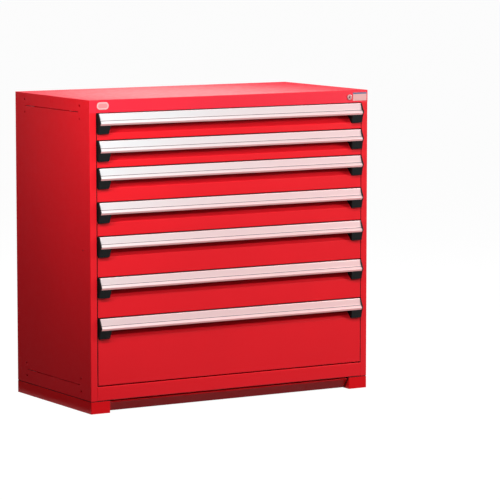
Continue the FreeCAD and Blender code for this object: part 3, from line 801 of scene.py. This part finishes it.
def add_partitions():
    """Slotted partitions and flanged dividers in place of the plain plates."""
    thickness = 0.0010
    gap = 0.0003
    flange = 0.009
    hem_room = 0.0016
    hem_end_gap = 0.002
    divider_hem_drop = 0.0006
    sheet_drop = 0.001
    for number, (columns, rows) in zip(drawer_numbers, compartments):
        node = "drawer_%d_dividers" % number
        low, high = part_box(node)
        inside_half = high.x + gap
        column_width = 2 * inside_half / columns
        row_depth = (high.y - low.y) / rows
        bm = bmesh.new()
        for i in range(1, columns):
            x = -inside_half + i * column_width
            slotted_sheet(bm, x, low.y, high.y, low.z, high.z - sheet_drop)
        bmesh.ops.solidify(bm, geom=bm.faces[:], thickness=thickness)
        sheets = bpy.data.meshes.new("partition_sheets")
        bm.to_mesh(sheets)
        bm.free()
        points = [vertex.co.copy() for vertex in sheets.vertices]
        faces = [tuple(polygon.vertices) for polygon in sheets.polygons]
        bpy.data.meshes.remove(sheets)
        shift = Vector((thickness / 2, 0, 0))
        middle_x = sum(point.x for point in points) / len(points)
        if middle_x > 0:
            shift = -shift
        shapes = [([tuple(point + shift) for point in points], faces)]
        for i in range(1, columns):
            x = -inside_half + i * column_width
            shapes.append(drawn_y(hem_outline(x, high.z), low.y, high.y))
        for i in range(columns):
            left = -inside_half + i * column_width
            start = left + gap + (hem_room if i > 0 else 0)
            end = left + column_width - gap - (hem_room if i < columns - 1 else 0)
            for j in range(1, rows):
                y = low.y + j * row_depth
                near = y - thickness / 2
                outline = [
                    (start, near), (end, near),
                    (end, near + flange), (end - thickness, near + flange),
                    (end - thickness, near + thickness), (start + thickness, near + thickness),
                    (start + thickness, near + flange), (start, near + flange),
                ]
                shapes.append(drawn_z(outline, low.z, high.z - sheet_drop))
                hem = hem_outline(y, high.z - divider_hem_drop)
                shapes.append(drawn_x(hem, start + hem_end_gap, end - hem_end_gap))
        piece = add_piece("drawer_%d_partitions" % number, shapes, slot_materials["zinc_steel"],
                          "drawer_%d" % number)
        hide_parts(node)


add_label_strips()
add_badge()
add_label_plate()
add_lock_details()
add_back_details()
add_carriage_axles()
add_partitions()
add_gap_shade_strips()
add_seam_shade_strip()
add_toe_end_shade_strips()


# Camera, lamps and floor

def direction(azimuth, elevation):
    """Unit vector from the object towards a place seen at that azimuth and elevation."""
    return Vector((
        math.sin(azimuth) * math.cos(elevation),
        -math.cos(azimuth) * math.cos(elevation),
        math.sin(elevation),
    ))


def add_camera():
    """The camera fitted to the photograph."""
    data = bpy.data.cameras.new("camera")
    data.sensor_width = sensor_width_mm
    data.lens = focal_length_mm
    data.clip_end = 100
    camera = bpy.data.objects.new("camera", data)
    towards = direction(camera_azimuth, camera_elevation)
    camera.location = camera_aim + towards * camera_distance
    camera.rotation_mode = "QUATERNION"
    camera.rotation_quaternion = (-towards).to_track_quat("-Z", "Y")
    bpy.context.scene.collection.objects.link(camera)
    bpy.context.scene.camera = camera


def add_softbox(name, place, aim, width, height, power):
    """Rectangular lamp at a place, turned to what it is aimed at."""
    data = bpy.data.lights.new(name, "AREA")
    data.shape = "RECTANGLE"
    data.size = width
    data.size_y = height
    data.energy = power
    lamp = bpy.data.objects.new(name, data)
    lamp.location = place
    lamp.rotation_mode = "QUATERNION"
    lamp.rotation_quaternion = (Vector(aim) - Vector(place)).to_track_quat("-Z", "Y")
    lamp.visible_camera = False
    bpy.context.scene.collection.objects.link(lamp)


def add_world(ambient):
    """Grey light all round, seen as white where it is looked at or mirrored."""
    world = bpy.data.worlds.new("studio")
    bpy.context.scene.world = world
    world.use_nodes = True
    nodes = world.node_tree.nodes
    links = world.node_tree.links
    nodes.clear()
    output = nodes.new("ShaderNodeOutputWorld")
    seen = nodes.new("ShaderNodeBackground")
    seen.inputs["Color"].default_value = (1, 1, 1, 1)
    light = nodes.new("ShaderNodeBackground")
    light.inputs["Color"].default_value = (ambient, ambient, ambient, 1)
    mix = nodes.new("ShaderNodeMixShader")
    links.new(seen_ray(world.node_tree), mix.inputs["Fac"])
    links.new(light.outputs[0], mix.inputs[1])
    links.new(seen.outputs[0], mix.inputs[2])
    links.new(mix.outputs[0], output.inputs["Surface"])


def seen_ray(tree):
    """1 for a ray from the camera, off a glossy surface or through glass, else 0."""
    path = tree.nodes.new("ShaderNodeLightPath")
    first = tree.nodes.new("ShaderNodeMath")
    first.operation = "MAXIMUM"
    second = tree.nodes.new("ShaderNodeMath")
    second.operation = "MAXIMUM"
    tree.links.new(path.outputs["Is Camera Ray"], first.inputs[0])
    tree.links.new(path.outputs["Is Glossy Ray"], first.inputs[1])
    tree.links.new(first.outputs[0], second.inputs[0])
    tree.links.new(path.outputs["Is Transmission Ray"], second.inputs[1])
    return second.outputs[0]


def add_floor(half_side, albedo, glow):
    """Pale floor that glows where it is seen, scatters a little light, and is clear from below."""
    mesh = bpy.data.meshes.new("studio_floor")
    corners = [
        (-half_side, -half_side, 0), (half_side, -half_side, 0),
        (half_side, half_side, 0), (-half_side, half_side, 0),
    ]
    mesh.from_pydata(corners, [], [(0, 1, 2, 3)])
    floor = bpy.data.objects.new("studio_floor", mesh)
    bpy.context.scene.collection.objects.link(floor)
    material = bpy.data.materials.new("studio_floor")
    material.use_nodes = True
    tree = material.node_tree
    tree.nodes.clear()
    output = tree.nodes.new("ShaderNodeOutputMaterial")
    matte = tree.nodes.new("ShaderNodeBsdfDiffuse")
    matte.inputs["Color"].default_value = (albedo, albedo, albedo, 1)
    glowing = tree.nodes.new("ShaderNodeEmission")
    strength = tree.nodes.new("ShaderNodeMath")
    strength.operation = "MULTIPLY"
    strength.inputs[1].default_value = glow
    tree.links.new(seen_ray(tree), strength.inputs[0])
    tree.links.new(strength.outputs[0], glowing.inputs["Strength"])
    both = tree.nodes.new("ShaderNodeAddShader")
    tree.links.new(matte.outputs[0], both.inputs[0])
    tree.links.new(glowing.outputs[0], both.inputs[1])
    clear = tree.nodes.new("ShaderNodeBsdfTransparent")
    side = tree.nodes.new("ShaderNodeNewGeometry")
    mix = tree.nodes.new("ShaderNodeMixShader")
    tree.links.new(side.outputs["Backfacing"], mix.inputs["Fac"])
    tree.links.new(both.outputs[0], mix.inputs[1])
    tree.links.new(clear.outputs[0], mix.inputs[2])
    tree.links.new(mix.outputs[0], output.inputs["Surface"])
    mesh.materials.append(material)


def add_flag():
    """Black folded card to the left, seen only in gloss, that keeps the side panel's red deep."""
    mesh = bpy.data.meshes.new("studio_flag")
    inner_x = -half_width - 0.015
    outer_x = -half_width - 2.6
    near_y = front_plane - 2.2
    far_y = 9.0
    height = 6.0
    lift = 0.004
    mesh.from_pydata(
        [
            (inner_x, near_y, lift), (inner_x, far_y, lift),
            (outer_x, near_y, lift), (outer_x, far_y, lift),
            (outer_x, near_y, height), (outer_x, far_y, height),
        ],
        [],
        [(0, 1, 3, 2), (2, 3, 5, 4)],
    )
    flag = bpy.data.objects.new("studio_flag", mesh)
    bpy.context.scene.collection.objects.link(flag)
    material, shader = new_shader("studio_flag")
    shader.inputs["Base Color"].default_value = (0.01, 0.01, 0.01, 1)
    shader.inputs["Roughness"].default_value = 1.0
    mesh.materials.append(material)
    flag.visible_camera = False
    flag.visible_diffuse = False
    flag.visible_shadow = False
    flag.visible_transmission = False


bpy.context.scene.view_settings.view_transform = "Standard"
add_camera()
add_world(ambient_light)
add_floor(floor_half_side, floor_albedo, floor_glow)
add_flag()
front_middle = (0, front_plane, 0.6)
side_top = (-half_width, 0.3, 1.3)
add_softbox("high", (-0.5, front_plane - 2.7, 5.0), front_middle, 0.5, 0.4, 129.0)
add_softbox("front", (-0.6, front_plane - 3.3, 2.8), front_middle, 0.35, 0.3, 36.0)
add_softbox("far", (-0.4, front_plane - 5.2, 2.0), front_middle, 0.6, 0.5, 27.0)
add_softbox("right_front", (2.55, front_plane - 1.32, 1.48), front_middle, 0.3, 0.25, 36.0)
add_softbox("left_front", (-1.66, front_plane - 0.6, 1.49), side_top, 0.25, 0.25, 18.5)
add_softbox("back", (-0.1, 2.9, 4.3), (0, back_plane, 0.4), 0.98, 1.2, 120.0)
add_softbox("right", (3.6, 0.9, 2.2), (half_width, 0, 0.6), 1.2, 1.0, 34.0)
